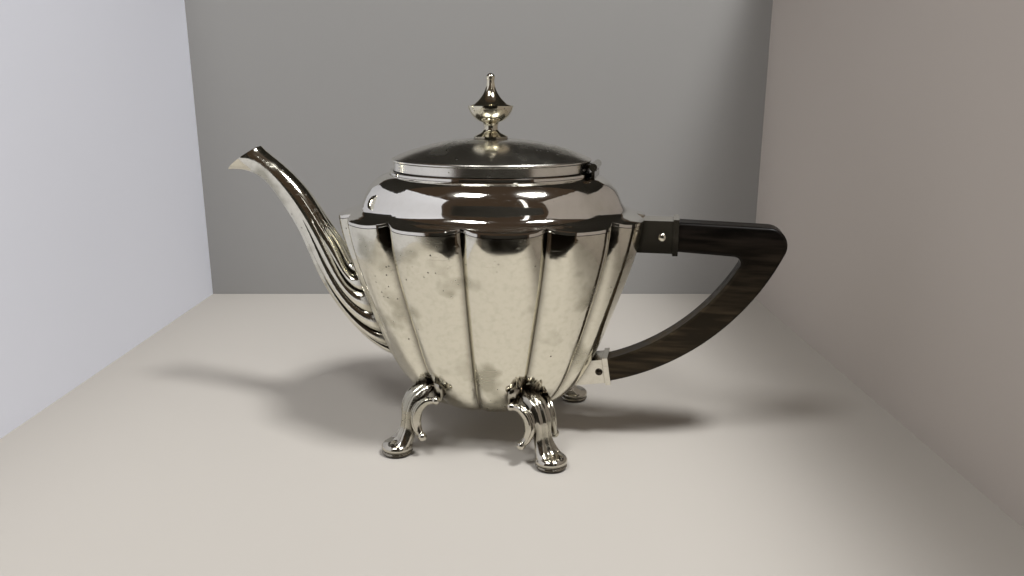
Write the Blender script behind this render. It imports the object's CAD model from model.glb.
# %% [markdown]
# A footed silver teapot
#
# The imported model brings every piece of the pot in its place: the lobed body, the
# hinged lid with its urn finial, the spout, the wooden handle in its two sockets and the
# four cast feet. This lesson gives those pieces their finishes, adds the carving of the
# feet, and sets the pot in a small tent of plain paper, seen as a visitor would see it.

# %% Load the pot
import bpy
import bmesh
import math
from mathutils import Matrix, Vector


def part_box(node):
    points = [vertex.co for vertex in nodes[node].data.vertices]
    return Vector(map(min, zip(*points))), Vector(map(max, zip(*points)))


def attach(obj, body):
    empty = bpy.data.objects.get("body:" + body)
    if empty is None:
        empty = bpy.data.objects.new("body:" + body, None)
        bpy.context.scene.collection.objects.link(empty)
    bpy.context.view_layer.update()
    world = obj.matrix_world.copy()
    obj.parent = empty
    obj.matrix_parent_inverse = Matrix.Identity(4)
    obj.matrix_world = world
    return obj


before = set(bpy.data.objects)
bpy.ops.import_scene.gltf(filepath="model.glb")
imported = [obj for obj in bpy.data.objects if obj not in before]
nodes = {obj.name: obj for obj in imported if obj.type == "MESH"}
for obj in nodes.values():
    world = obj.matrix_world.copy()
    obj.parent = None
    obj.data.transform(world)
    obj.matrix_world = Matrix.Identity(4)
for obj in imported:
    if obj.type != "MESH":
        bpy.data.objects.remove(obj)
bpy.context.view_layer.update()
MM = 0.001
print("pieces of the pot:", len(nodes))


# %% [markdown]
# Short words for nodes
#
# A material is a tree of nodes, and most of its nodes do one of four things: work out a
# number from two others, stretch a number between two limits, make a noise, or mix two
# colours. Each gets a short function that returns its output, so that a finish below
# reads from top to bottom like a recipe.

# %% Numbers and colours from nodes
def feed(tree, value, socket):
    """Link a node's output to a socket, or set a plain number or colour on the socket."""
    if isinstance(value, bpy.types.NodeSocket):
        tree.links.new(value, socket)
    else:
        socket.default_value = value


def worked_out(tree, operation, first, second):
    """Result of a Math node on two numbers or outputs."""
    node = tree.nodes.new("ShaderNodeMath")
    node.operation = operation
    feed(tree, first, node.inputs[0])
    feed(tree, second, node.inputs[1])
    return node.outputs["Value"]


def ramp_between(tree, value, low, high):
    """Value stretched so that low becomes 0 and high becomes 1, and cut off there."""
    node = tree.nodes.new("ShaderNodeMapRange")
    node.inputs["From Min"].default_value = low
    node.inputs["From Max"].default_value = high
    tree.links.new(value, node.inputs["Value"])
    return node.outputs["Result"]


def noise_at(tree, place, scale, detail):
    node = tree.nodes.new("ShaderNodeTexNoise")
    node.inputs["Scale"].default_value = scale
    node.inputs["Detail"].default_value = detail
    tree.links.new(place, node.inputs["Vector"])
    return node.outputs["Fac"]


def mixed_colour(tree, mask, first, second):
    """Colour that goes from the first to the second as the mask goes from 0 to 1."""
    node = tree.nodes.new("ShaderNodeMix")
    node.data_type = "RGBA"
    tree.links.new(mask, node.inputs["Factor"])
    feed(tree, first, node.inputs["A"])
    feed(tree, second, node.inputs["B"])
    return node.outputs["Result"]


print("node helpers ready: Math, Map Range, Noise and Mix")


# %% [markdown]
# Shared effects as node groups
#
# Old polished silver is never a perfect mirror. Years of rubbing leave hair scratches,
# the sheet is not quite flat because it was beaten by hand, and a fine mottle, cloudy
# stains and small pits stay where the polish missed. Each effect is a node group, built
# once and placed in every silver finish with its own strength. Pictures could do the same,
# but a pattern worked out from the place on the piece has no seams and never runs out.

# %% Start and end of a node group
def effect_group(name):
    """Empty group with the inputs Vector and Strength and the output Mask."""
    group = bpy.data.node_groups.new(name, "ShaderNodeTree")
    group.interface.new_socket(name="Vector", in_out="INPUT", socket_type="NodeSocketVector")
    group.interface.new_socket(name="Strength", in_out="INPUT", socket_type="NodeSocketFloat")
    group.interface.new_socket(name="Mask", in_out="OUTPUT", socket_type="NodeSocketFloat")
    return group, group.nodes.new("NodeGroupInput")


def put_out(group, start, mask):
    """Send a mask, times the strength, to the output of its group."""
    end = group.nodes.new("NodeGroupOutput")
    result = worked_out(group, "MULTIPLY", mask, start.outputs["Strength"])
    group.links.new(result, end.inputs["Mask"])
    print("group:", group.name)


# %% [markdown]
# Hair scratches
#
# A scratch is long and thin, so a noise is squeezed along one direction and cut to its
# highest crests. Two such sets, turned against each other, look like years of polishing.

# %% Hair scratches
SCRATCH_TURNS = (0.5, -0.9)
SCRATCH_LEAN = 0.4
SCRATCH_STRETCH = (30, 900, 900)
SCRATCH_CREST = (0.66, 0.74)


def scratch_group():
    group, start = effect_group("hair_scratches")
    crests = []
    for turn in SCRATCH_TURNS:
        turned = group.nodes.new("ShaderNodeMapping")
        turned.inputs["Rotation"].default_value = (turn, SCRATCH_LEAN * turn, turn)
        turned.inputs["Scale"].default_value = SCRATCH_STRETCH
        group.links.new(start.outputs["Vector"], turned.inputs["Vector"])
        streaks = noise_at(group, turned.outputs["Vector"], scale=1.0, detail=1.0)
        crests.append(ramp_between(group, streaks, *SCRATCH_CREST))
    put_out(group, start, worked_out(group, "MAXIMUM", *crests))
    return group


hair_scratches = scratch_group()


# %% [markdown]
# Stains, mottle and waves
#
# These three are clouds of different sizes: a soft noise, cut between two levels. Stains
# are broad and have clear edges, the mottle has spots of a few millimetres, and the waves
# of hand-beaten sheet are the broadest and keep the whole range of the noise.

# %% Stains, mottle and waves
def cloud_group(name, scale, detail, low, high):
    group, start = effect_group(name)
    clouds = noise_at(group, start.outputs["Vector"], scale, detail)
    put_out(group, start, ramp_between(group, clouds, low, high))
    return group


cloudy_stains = cloud_group("cloudy_stains", scale=40.0, detail=3.0, low=0.54, high=0.64)
fine_mottle = cloud_group("fine_mottle", scale=420.0, detail=3.0, low=0.45, high=0.75)
beaten_waves = cloud_group("beaten_waves", scale=28.0, detail=1.0, low=0.0, high=1.0)


# %% [markdown]
# Small pits
#
# Pits are tiny: the centres of the cells of a Voronoi pattern, kept only where a second,
# broad noise is high, so that they come in patches as they do on the real sheet.

# %% Small pits
PIT_CELLS = 300.0
PIT_EDGE = (0.16, 0.08)
PIT_PATCHES = 45.0
PIT_PATCH_EDGE = (0.58, 0.64)


def pit_group():
    group, start = effect_group("small_pits")
    place = start.outputs["Vector"]
    cells = group.nodes.new("ShaderNodeTexVoronoi")
    cells.inputs["Scale"].default_value = PIT_CELLS
    group.links.new(place, cells.inputs["Vector"])
    centres = ramp_between(group, cells.outputs["Distance"], *PIT_EDGE)
    patches = ramp_between(group, noise_at(group, place, PIT_PATCHES, detail=1.0), *PIT_PATCH_EDGE)
    put_out(group, start, worked_out(group, "MULTIPLY", centres, patches))
    return group


small_pits = pit_group()


# %% [markdown]
# Polished silver
#
# Silver is a warm white metal, so Metallic is 1 and Base Color is nearly white with a
# little yellow. Its mirror is blurred by a low Roughness, raised by scratches, stains and
# pits. Dirt that the polishing cloth cannot reach stays in creases: an Ambient Occlusion
# node finds them. Two very low bumps, one on the other, make the waves and the scratches.

# %% Start of a material, an effect in it and a bump
def new_material(name):
    """Material with its tree of nodes and its shader."""
    material = bpy.data.materials.new(name)
    material.use_nodes = True
    return material, material.node_tree, material.node_tree.nodes["Principled BSDF"]


def effect_at(tree, group, place, strength):
    """Mask of an effect, placed in a material at its own strength."""
    node = tree.nodes.new("ShaderNodeGroup")
    node.node_tree = group
    tree.links.new(place, node.inputs["Vector"])
    node.inputs["Strength"].default_value = strength
    return node.outputs["Mask"]


def bumped(tree, height, strength, depth, below=None):
    """Normal of a surface raised by a depth in millimetres, over the normal below it."""
    node = tree.nodes.new("ShaderNodeBump")
    node.inputs["Strength"].default_value = strength
    node.inputs["Distance"].default_value = depth * MM
    tree.links.new(height, node.inputs["Height"])
    if below is not None:
        tree.links.new(below, node.inputs["Normal"])
    return node.outputs["Normal"]


print("material helpers ready: new material, effect and bump")


# %% Polished silver
MOTTLE_TONE = (0.58, 0.55, 0.46, 1)
STAIN_TONE = (0.45, 0.43, 0.34, 1)
DIRT_TONE = (0.09, 0.075, 0.055, 1)
PIT_TONE = (0.12, 0.11, 0.09, 1)
MOTTLE_SHARE = 0.4
PIT_STRENGTH = 0.8
DIRT_REACH = 4.0
DIRT_EDGE = 0.35
SCRATCH_HAZE, STAIN_HAZE, PIT_HAZE = 0.2, 0.22, 0.375
WAVE_DEPTH = 0.6
SCRATCH_DEPTH, SCRATCH_BUMP = 0.02, 0.2


def silver_material(name, tone, rough, scratch, stain, grime, corner, wave):
    """Old silver. Scratch, stain, grime and wave are strengths from 0 to 1; corner is how
    open a place may be, from 0 to 1, and still keep dirt."""
    material, tree, shader = new_material(name)
    shader.inputs["Metallic"].default_value = 1.0
    place = tree.nodes.new("ShaderNodeTexCoord").outputs["Object"]
    scratches = effect_at(tree, hair_scratches, place, scratch)
    stains = effect_at(tree, cloudy_stains, place, stain)
    mottle = effect_at(tree, fine_mottle, place, MOTTLE_SHARE * stain)
    pits = effect_at(tree, small_pits, place, PIT_STRENGTH)
    waves = effect_at(tree, beaten_waves, place, wave)

    openness = tree.nodes.new("ShaderNodeAmbientOcclusion")
    openness.inputs["Distance"].default_value = DIRT_REACH * MM
    openness.samples = 8
    creases = ramp_between(tree, openness.outputs["AO"], corner, corner - DIRT_EDGE)
    dirt = worked_out(tree, "MULTIPLY", creases, grime)

    colour = tone
    for mask, shade in ((mottle, MOTTLE_TONE), (stains, STAIN_TONE), (dirt, DIRT_TONE), (pits, PIT_TONE)):
        colour = mixed_colour(tree, mask, colour, shade)
    tree.links.new(colour, shader.inputs["Base Color"])

    haze = rough
    for mask, share in ((scratches, SCRATCH_HAZE), (stains, STAIN_HAZE), (pits, PIT_HAZE)):
        haze = worked_out(tree, "ADD", haze, worked_out(tree, "MULTIPLY", mask, share))
    tree.links.new(haze, shader.inputs["Roughness"])

    beaten = bumped(tree, waves, 1.0, WAVE_DEPTH)
    scratched = bumped(tree, scratches, SCRATCH_BUMP, SCRATCH_DEPTH, beaten)
    tree.links.new(scratched, shader.inputs["Normal"])
    return material


print("layers over the silver: mottle, stains, dirt, pits")


# %% [markdown]
# Seven finishes of one silver
#
# The body and the sockets are the most stained, and the body's creases keep dirt. The neck
# is the best mirror, the lid is dulled by hands, the finial is a little yellow, and the
# feet and hinge are darker castings. The pin of the lower socket is almost black with age.

# %% Seven finishes of one silver
# Tone, roughness, scratch, stain, grime, corner and wave of each finish
finishes = {
    "body_silver": ((0.88, 0.85, 0.73, 1), 0.09, 0.6, 0.8, 0.85, 0.97, 0.5),
    "neck_silver": ((0.91, 0.89, 0.83, 1), 0.06, 0.4, 0.25, 0.8, 0.75, 0.4),
    "lid_silver": ((0.88, 0.86, 0.79, 1), 0.20, 0.15, 0.45, 0.8, 0.75, 0.3),
    "finial_silver": ((0.86, 0.81, 0.65, 1), 0.10, 0.3, 0.4, 0.9, 0.9, 0.1),
    "socket_silver": ((0.80, 0.77, 0.68, 1), 0.14, 0.6, 0.8, 0.85, 0.8, 0.2),
    "cast_silver": ((0.64, 0.61, 0.53, 1), 0.11, 0.4, 0.6, 1.0, 1.0, 0.3),
    "dark_silver": ((0.06, 0.05, 0.04, 1), 0.30, 0.4, 0.0, 1.0, 0.75, 0.1),
}
silver = {name: silver_material(name, *values) for name, values in finishes.items()}
print("silver finishes:", ", ".join(silver))


# %% [markdown]
# Dark wood
#
# The handle is a dense hardwood stained almost black and rubbed with wax. Its grain runs
# along the bar, so a noise is stretched far along X. Hands have rubbed the stain off the
# lower bow, where the brown of the wood comes through.

# %% Dark wood
GRAIN_TILT = math.radians(-28)
GRAIN_STRETCH = (40, 420, 420)
STREAK_EDGE = (0.42, 0.68)
STAINED_TONES = ((0.003, 0.0025, 0.002, 1), (0.011, 0.008, 0.006, 1))
RUBBED_TONES = ((0.020, 0.015, 0.009, 1), (0.055, 0.040, 0.023, 1))
# Heights in millimetres between which the stain wears off
WORN_FROM, WORN_TO = 100.0, 55.0
WAX_ROUGHNESS, STREAK_ROUGHNESS = 0.34, 0.18
PORE_DEPTH, PORE_BUMP = 0.1, 0.15


def wood_material():
    material, tree, shader = new_material("stained_wood")
    shader.inputs["Specular IOR Level"].default_value = 0.12
    place = tree.nodes.new("ShaderNodeTexCoord").outputs["Object"]
    stretch = tree.nodes.new("ShaderNodeMapping")
    stretch.inputs["Rotation"].default_value = (0, GRAIN_TILT, 0)
    stretch.inputs["Scale"].default_value = GRAIN_STRETCH
    tree.links.new(place, stretch.inputs["Vector"])
    grain = noise_at(tree, stretch.outputs["Vector"], scale=1.0, detail=5.0)
    streaks = ramp_between(tree, grain, *STREAK_EDGE)
    axes = tree.nodes.new("ShaderNodeSeparateXYZ")
    tree.links.new(place, axes.inputs["Vector"])
    worn = ramp_between(tree, axes.outputs["Z"], WORN_FROM * MM, WORN_TO * MM)
    stained = mixed_colour(tree, streaks, *STAINED_TONES)
    rubbed = mixed_colour(tree, streaks, *RUBBED_TONES)
    tree.links.new(mixed_colour(tree, worn, stained, rubbed), shader.inputs["Base Color"])
    haze = worked_out(tree, "MULTIPLY", streaks, STREAK_ROUGHNESS)
    tree.links.new(worked_out(tree, "ADD", haze, WAX_ROUGHNESS), shader.inputs["Roughness"])
    tree.links.new(bumped(tree, grain, PORE_BUMP, PORE_DEPTH), shader.inputs["Normal"])
    return material


stained_wood = wood_material()
print("wood finish:", stained_wood.name)


# %% [markdown]
# Give each piece its finish
#
# The solids already have the right shapes, so they keep their meshes and only change
# material. A piece's name says what it is, so the name picks the finish.

# %% Give each piece its finish
def finish_of(name):
    if name == "handle":
        return stained_wood
    if name == "lower_socket_pin":
        return silver["dark_silver"]
    if name in ("neck_collar", "shoulder_neck"):
        return silver["neck_silver"]
    for start in ("lid", "finial"):
        if name.startswith(start):
            return silver[start + "_silver"]
    if name.startswith(("foot", "hinge")):
        return silver["cast_silver"]
    if "socket" in name:
        return silver["socket_silver"]
    return silver["body_silver"]


for name, node in nodes.items():
    node.data.materials.clear()
    node.data.materials.append(finish_of(name))
print("finished pieces:", len(nodes))


# %% [markdown]
# Carving of the feet
#
# The real feet were cast in a mould pressed from a carved model: three ridges run down the
# shin, each crescent has a groove along it and a small scroll at both ends, and the toe is
# a spoon with a raised rim. The solids have the plain forms. Here each foot gets one carved
# skin over them: tubes through a few rings, whose outline is a formula with ridges, melted
# into one casting by a voxel Remesh, which also rounds the inner corners as a mould does.

# %% A smooth line through stations
def between(a, b, c, d, share):
    """Catmull-Rom value at a share of the way from b to c, led by a and d."""
    square = 2 * a - 5 * b + 4 * c - d
    cube = 3 * b - a - 3 * c + d
    return 0.5 * (2 * b + (c - a) * share + square * share ** 2 + cube * share ** 3)


def smooth_line(stations, steps):
    """Points through tuples of numbers, with so many steps to each stretch."""
    ends = [stations[0]] + stations + [stations[-1]]
    line = []
    for stretch in zip(ends, ends[1:], ends[2:], ends[3:]):
        for step in range(steps):
            line.append(tuple(between(*values, step / steps) for values in zip(*stretch)))
    return line + [stations[-1]]


print("halfway from 1 to 2, led by 0 and 3:", between(0, 1, 2, 3, 0.5))


# %% A tube through rings
def turns(points):
    """Angles of so many points round a circle."""
    return [2 * math.pi * index / points for index in range(points)]


def add_tube(model, rings):
    """Closed tube: a circle moved to each ring, bridged to the next, with both ends capped."""
    loops = []
    for ring in rings:
        capped = ring is rings[0] or ring is rings[-1]
        circle = bmesh.ops.create_circle(model, cap_ends=capped, segments=len(ring), radius=MM)["verts"]
        for vertex, point in zip(circle, ring):
            vertex.co = point
        edges = [edge for vertex in circle for edge in vertex.link_edges]
        loops.append(list(dict.fromkeys(edges)))
    for low, high in zip(loops, loops[1:]):
        bmesh.ops.bridge_loops(model, edges=low + high)


RING_POINTS = 48
print("points in a ring:", len(turns(RING_POINTS)))


# %% [markdown]
# Leg and crescents
#
# Both are drawn in millimetres in the plane of a foot: X points outwards along the foot, Y
# across it, and the origin is on the floor below the wall. The leg's ring is an oval with
# three ridges on its outer side; the crescent's ring has a groove on two sides.

# %% Leg
STATION_STEPS = 6
RIDGES, RIDGE_HEIGHT = 3, 0.8
# Distance from the wall, height, direction outwards and up, half width, half thickness
LEG_STATIONS = [
    (5.6, 27.6, 1.0, -0.25, 4.6, 2.5),
    (10.4, 25.0, 0.8, -0.8, 5.0, 2.7),
    (13.0, 19.6, 0.3, -1.0, 5.0, 2.8),
    (13.6, 14.6, 0.1, -1.0, 4.5, 2.8),
    (14.3, 10.8, 0.2, -1.0, 4.7, 2.9),
    (15.8, 7.6, 0.5, -1.0, 5.5, 3.0),
    (17.6, 5.2, 0.8, -0.7, 6.3, 2.8),
    (20.5, 3.7, 1.0, -0.3, 6.5, 2.4),
]


def leg_rings():
    rings = []
    for out, up, along_x, along_z, half_width, half_thick in smooth_line(LEG_STATIONS, STATION_STEPS):
        length = math.hypot(along_x, along_z)
        front = Vector((-along_z / length, 0, along_x / length))
        ring = []
        for turn in turns(RING_POINTS):
            ridge = 0.5 + 0.5 * math.cos(RIDGES * math.pi * math.cos(turn))
            raised = half_thick * math.sin(turn) + RIDGE_HEIGHT * ridge * max(math.sin(turn), 0)
            ring.append(Vector((out, half_width * math.cos(turn), up)) + front * raised)
        rings.append(ring)
    return rings


print("rings of a leg:", len(leg_rings()))


# %% Crescents
GROOVE_DEPTH, GROOVE_SHARPNESS = 0.42, 8
CRESCENT_FLATNESS = 0.8
# Distance from the wall, distance from the leg's middle, height, radius
CRESCENT_STATIONS = [
    (4.4, 9.8, 25.8, 1.4),
    (8.2, 8.0, 25.4, 2.1),
    (11.4, 6.6, 22.2, 2.6),
    (12.6, 6.4, 17.6, 2.7),
    (12.2, 7.6, 13.0, 2.2),
    (11.2, 9.8, 10.0, 1.4),
]


def crescent_rings(side):
    """Rings of the crescent at one side of the leg: 1 or -1 along Y."""
    line = smooth_line(CRESCENT_STATIONS, STATION_STEPS)
    rings = []
    for index, (out, off, up, radius) in enumerate(line):
        before = Vector(line[max(index - 1, 0)][:3])
        after = Vector(line[min(index + 1, len(line) - 1)][:3])
        along = (after - before).normalized()
        first = along.cross(Vector((0, 1, 0))).normalized()
        second = along.cross(first) * CRESCENT_FLATNESS
        ring = []
        for turn in turns(RING_POINTS):
            reach = radius * (1 - GROOVE_DEPTH * abs(math.cos(turn)) ** GROOVE_SHARPNESS)
            point = Vector((out, off, up)) + reach * (first * math.cos(turn) + second * math.sin(turn))
            ring.append(Vector((point.x, side * point.y, point.z)))
        rings.append(ring)
    return rings


print("rings of a crescent:", len(crescent_rings(1)))


# %% [markdown]
# Toe and scrolls
#
# The toe is a flattened ball with a ring round it, and a scroll is a small ball at either
# end of a crescent. With the leg and the crescents they make the model of one foot.

# %% Toe and scrolls
TOE_OUT = 19.6
TOE_HALF_SIZES = (7.0, 7.2, 3.3)
TOE_LIFT = 0.1
RIM_REACH, RIM_RADIUS, RIM_LEVEL, RIM_POINTS = 6.5, 0.5, 1.2, 12
SCROLL_RADIUS = 2.0


def add_ball(model, middle, half_sizes):
    stretch = Matrix.Translation(middle) @ Matrix.Diagonal((*half_sizes, 1))
    bmesh.ops.create_uvsphere(model, u_segments=32, v_segments=20, radius=1, matrix=stretch)


def rim_rings():
    """Rings of the raised rim, which lies flat round the toe and ends where it starts."""
    upwards = Vector((0, 0, 1))
    rings = []
    for turn in turns(RING_POINTS) + [2 * math.pi]:
        outwards = Vector((math.cos(turn), math.sin(turn), 0))
        middle = Vector((TOE_OUT, 0, RIM_LEVEL)) + outwards * RIM_REACH
        ring = []
        for angle in turns(RIM_POINTS):
            ring.append(middle + RIM_RADIUS * (outwards * math.cos(angle) + upwards * math.sin(angle)))
        rings.append(ring)
    return rings


def foot_model():
    """One foot in its own plane, in millimetres."""
    model = bmesh.new()
    add_tube(model, leg_rings())
    add_tube(model, rim_rings())
    add_ball(model, (TOE_OUT, 0, TOE_HALF_SIZES[2] + TOE_LIFT), TOE_HALF_SIZES)
    for side in (-1, 1):
        add_tube(model, crescent_rings(side))
        for station in (CRESCENT_STATIONS[0], CRESCENT_STATIONS[-1]):
            out, off, up = station[:3]
            add_ball(model, (out, side * off, up), (SCROLL_RADIUS,) * 3)
    return model


print("rings of a rim:", len(rim_rings()))


# %% [markdown]
# One casting for each foot
#
# The place of each foot comes from the box of its solid: the toe reaches the box's outer
# corner. The foot at +X and +Y is turned to its heading, and the others are its mirror
# images, so their faces are turned outwards again before the parts are melted together.

# %% One casting for each foot
FOOT_HEADING = math.radians(38.5)
TOE_REACH = 6.2
CASTING_GRAIN = 0.28


def carved_foot(name):
    low, high = [Vector(corner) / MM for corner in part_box(name)]
    toe_x = max(abs(low.x), abs(high.x)) - TOE_REACH
    toe_y = max(abs(low.y), abs(high.y)) - TOE_REACH
    stand = Matrix.Translation((toe_x, toe_y, 0)) @ Matrix.Rotation(FOOT_HEADING, 4, "Z")
    stand = stand @ Matrix.Translation((-TOE_OUT, 0, 0))
    side_x = math.copysign(1, low.x + high.x)
    side_y = math.copysign(1, low.y + high.y)
    mirror = Matrix.Diagonal((side_x, side_y, 1, 1))
    model = foot_model()
    bmesh.ops.transform(model, matrix=Matrix.Scale(MM, 4) @ mirror @ stand, verts=model.verts)
    bmesh.ops.recalc_face_normals(model, faces=model.faces)
    mesh = bpy.data.meshes.new(name + "_carving")
    model.to_mesh(mesh)
    model.free()
    piece = bpy.data.objects.new(name + "_carving", mesh)
    bpy.context.scene.collection.objects.link(piece)
    melt = piece.modifiers.new("melt", "REMESH")
    melt.mode = "VOXEL"
    melt.voxel_size = CASTING_GRAIN * MM
    melt.use_smooth_shade = True
    soften = piece.modifiers.new("soften", "SMOOTH")
    soften.factor = 0.5
    soften.iterations = 3
    mesh.materials.append(silver["cast_silver"])
    return piece


for name in [node for node in nodes if node.startswith("foot")]:
    carving = carved_foot(name)
    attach(carving, "pot")
    print("carved", carving.name)


# %% [markdown]
# Paper for a tent
#
# Silver shows mostly what stands around it. The pot stands in a small tent: a cream floor,
# a grey wall behind, pale walls at both sides, and an open front to a dim room. A wall is
# a plane with one face, made see-through from behind, so that a camera may walk round the
# tent and still look in.

# %% Paper for a tent
def paper(name, colour):
    """Matt paper that the camera sees only from its front."""
    material, tree, shader = new_material(name)
    shader.inputs["Base Color"].default_value = (*colour, 1)
    shader.inputs["Roughness"].default_value = 0.9
    shader.inputs["Specular IOR Level"].default_value = 0.1
    clear = tree.nodes.new("ShaderNodeBsdfTransparent")
    behind = tree.nodes.new("ShaderNodeNewGeometry").outputs["Backfacing"]
    from_camera = tree.nodes.new("ShaderNodeLightPath").outputs["Is Camera Ray"]
    blend = tree.nodes.new("ShaderNodeMixShader")
    tree.links.new(worked_out(tree, "MULTIPLY", behind, from_camera), blend.inputs["Fac"])
    tree.links.new(shader.outputs["BSDF"], blend.inputs[1])
    tree.links.new(clear.outputs["BSDF"], blend.inputs[2])
    tree.links.new(blend.outputs["Shader"], tree.nodes["Material Output"].inputs["Surface"])
    return material


cream_paper = paper("cream_paper", (0.53, 0.50, 0.455))
grey_paper = paper("grey_paper", (0.31, 0.305, 0.295))
cool_paper = paper("cool_paper", (0.84, 0.86, 0.94))
warm_paper = paper("warm_paper", (0.60, 0.55, 0.51))
black_cloth = paper("black_cloth", (0.045, 0.042, 0.036))
print("papers:", cream_paper.name, grey_paper.name, cool_paper.name, warm_paper.name, black_cloth.name)


# %% [markdown]
# Sheets of the tent
#
# Each sheet is a grid of one face, stretched and stood in its place. The whole tent is
# turned with the camera, so that its back wall lies square in the picture. A wide table top
# just below the floor goes on where the tent ends, for views from other sides, and the
# silver does not mirror it.

# %% A sheet in its place
CAMERA_TURN = math.radians(11.5)
tent_turn = Matrix.Rotation(CAMERA_TURN, 4, "Z")


def sheet_of_paper(name, width, height, place, material):
    """Rectangle of paper; place brings it from the XY plane, facing up, to its stand."""
    mesh = bpy.data.meshes.new(name)
    model = bmesh.new()
    bmesh.ops.create_grid(model, x_segments=1, y_segments=1, size=0.5)
    bmesh.ops.scale(model, vec=(width, height, 1), verts=model.verts)
    bmesh.ops.transform(model, matrix=tent_turn @ place, verts=model.verts)
    model.to_mesh(mesh)
    model.free()
    mesh.materials.append(material)
    sheet = bpy.data.objects.new(name, mesh)
    bpy.context.scene.collection.objects.link(sheet)
    return sheet


def upright(x, y, z, heading):
    """Place of an upright wall whose face looks along the heading, in degrees from +X."""
    stand = Matrix.Rotation(math.radians(90), 4, "Y")
    turn = Matrix.Rotation(math.radians(heading), 4, "Z")
    return Matrix.Translation((x, y, z)) @ turn @ stand


print("tent turned by", round(math.degrees(CAMERA_TURN), 1), "degrees")


# %% Floor and walls, in metres
TENT_LEFT, TENT_RIGHT, TENT_BACK, TENT_FRONT = -0.23, 0.20, 0.25, -0.26
FLOOR_FRONT = -0.215
BACK_TOP, SIDE_TOP = 0.225, 0.32
TABLE_SIZE, TABLE_DROP = 3.0, 0.5 * MM
tent_width = TENT_RIGHT - TENT_LEFT
tent_depth = TENT_BACK - TENT_FRONT
floor_depth = TENT_BACK - FLOOR_FRONT
across = (TENT_LEFT + TENT_RIGHT) / 2
along = (TENT_BACK + TENT_FRONT) / 2
floor_place = Matrix.Translation((across, (TENT_BACK + FLOOR_FRONT) / 2, 0))
back_place = upright(across, TENT_BACK, BACK_TOP / 2, -90)
left_place = upright(TENT_LEFT, along, SIDE_TOP / 2, 0)
right_place = upright(TENT_RIGHT, along, SIDE_TOP / 2, 180)
table_place = Matrix.Translation((0, 0, -TABLE_DROP))
sheet_of_paper("tent_floor", tent_width, floor_depth, floor_place, cream_paper)
sheet_of_paper("tent_back", BACK_TOP, tent_width, back_place, grey_paper)
sheet_of_paper("tent_left", SIDE_TOP, tent_depth, left_place, cool_paper)
sheet_of_paper("tent_right", SIDE_TOP, tent_depth, right_place, warm_paper)
table_top = sheet_of_paper("table_top", TABLE_SIZE, TABLE_SIZE, table_place, cream_paper)
table_top.visible_glossy = False
print("tent of", round(tent_width, 2), "by", round(tent_depth, 2), "m")


# %% [markdown]
# Dark cloths that only the silver sees
#
# Silver looks like silver only when something dark is mirrored next to something bright. A
# dark cloth hangs over the rear of the tent, for the lid, and one stands behind the camera,
# for the lobes below the rim. Rays from the camera pass them by.

# %% Dark cloths that only the silver sees
ROOF_DEPTH, ROOF_LEVEL = 0.24, 0.235
CLOTH_BACK, CLOTH_WIDTH, CLOTH_HEIGHT = -0.50, 0.70, 0.60
turned_over = Matrix.Rotation(math.radians(180), 4, "X")
roof_place = Matrix.Translation((across, TENT_BACK - ROOF_DEPTH / 2, ROOF_LEVEL)) @ turned_over
roof_cloth = sheet_of_paper("roof_cloth", tent_width, ROOF_DEPTH, roof_place, black_cloth)
front_place = upright(0, CLOTH_BACK, 0, 90)
front_cloth = sheet_of_paper("front_cloth", CLOTH_HEIGHT, CLOTH_WIDTH, front_place, black_cloth)
for cloth in (roof_cloth, front_cloth):
    cloth.visible_camera = False
    cloth.visible_shadow = False
    cloth.visible_diffuse = False
print("cloths:", roof_cloth.name, front_cloth.name)


# %% [markdown]
# Lamps
#
# Two soft lamps above the tent's open front light the paper, and the paper lights the pot.
# A weak upright lamp stands for a narrow window, seen as a streak on the neck.

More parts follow.
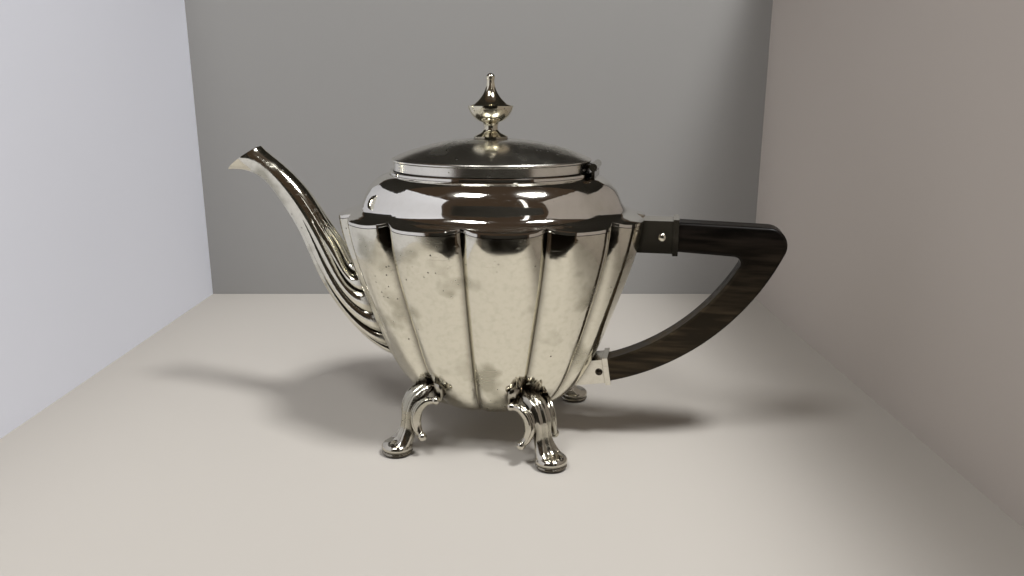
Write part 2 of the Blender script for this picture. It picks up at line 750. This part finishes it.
# %% Lamps
def soft_lamp(name, place, target, width, watts):
    lamp = bpy.data.lights.new(name, "AREA")
    lamp.size = width
    lamp.energy = watts
    stand = bpy.data.objects.new(name, lamp)
    aim = (Vector(target) - Vector(place)).to_track_quat("-Z", "Y")
    stand.matrix_world = Matrix.Translation(place) @ aim.to_matrix().to_4x4()
    bpy.context.scene.collection.objects.link(stand)
    return stand


POT_MIDDLE, POT_NECK = (0, 0, 0.05), (0, 0, 0.10)
WINDOW_WIDTH, WINDOW_HEIGHT = 0.03, 0.40
left_lamp = soft_lamp("left_lamp", (-0.15, -0.40, 0.80), POT_MIDDLE, width=0.20, watts=2.6)
right_lamp = soft_lamp("right_lamp", (0.38, -0.22, 0.90), POT_MIDDLE, width=0.16, watts=7.0)
window_lamp = soft_lamp("window_lamp", (0.30, -0.46, 0.36), POT_NECK, WINDOW_WIDTH, watts=0.08)
window_lamp.data.shape = "RECTANGLE"
window_lamp.data.size_y = WINDOW_HEIGHT
print("lamps:", left_lamp.name, right_lamp.name, window_lamp.name)


# %% [markdown]
# Room
#
# The room beyond the open front is dim and brown, and the neck mirrors it. Rays from the
# camera see it as pale grey, so the pot stands before a light ground from every side.

# %% Room
ROOM_BROWN, GROUND_GREY = (0.050, 0.034, 0.023, 1), (0.7, 0.7, 0.7, 1)
world = bpy.data.worlds.new("room")
bpy.context.scene.world = world
world.use_nodes = True
room = world.node_tree
ground = room.nodes["Background"]
ground.inputs["Strength"].default_value = 1.0
path = room.nodes.new("ShaderNodeLightPath")
tint = mixed_colour(room, path.outputs["Is Camera Ray"], ROOM_BROWN, GROUND_GREY)
room.links.new(tint, ground.inputs["Color"])
print("world:", world.name)


# %% [markdown]
# Camera
#
# The pot is seen from a little above its lid, turned so that the handle comes nearer than
# the spout. A short lens close by gives the strong perspective of a picture taken by hand.

# %% Camera
CAMERA_PITCH = math.radians(75.76)
lens = bpy.data.cameras.new("visitor")
lens.sensor_width = 36.0
lens.lens = 27.42
camera = bpy.data.objects.new("visitor", lens)
camera.location = (0.0798, -0.3451, 0.1582)
camera.rotation_euler = (CAMERA_PITCH, 0, CAMERA_TURN)
bpy.context.scene.collection.objects.link(camera)
bpy.context.scene.camera = camera
bpy.context.scene.view_settings.view_transform = "Standard"
print("camera at", tuple(camera.location))
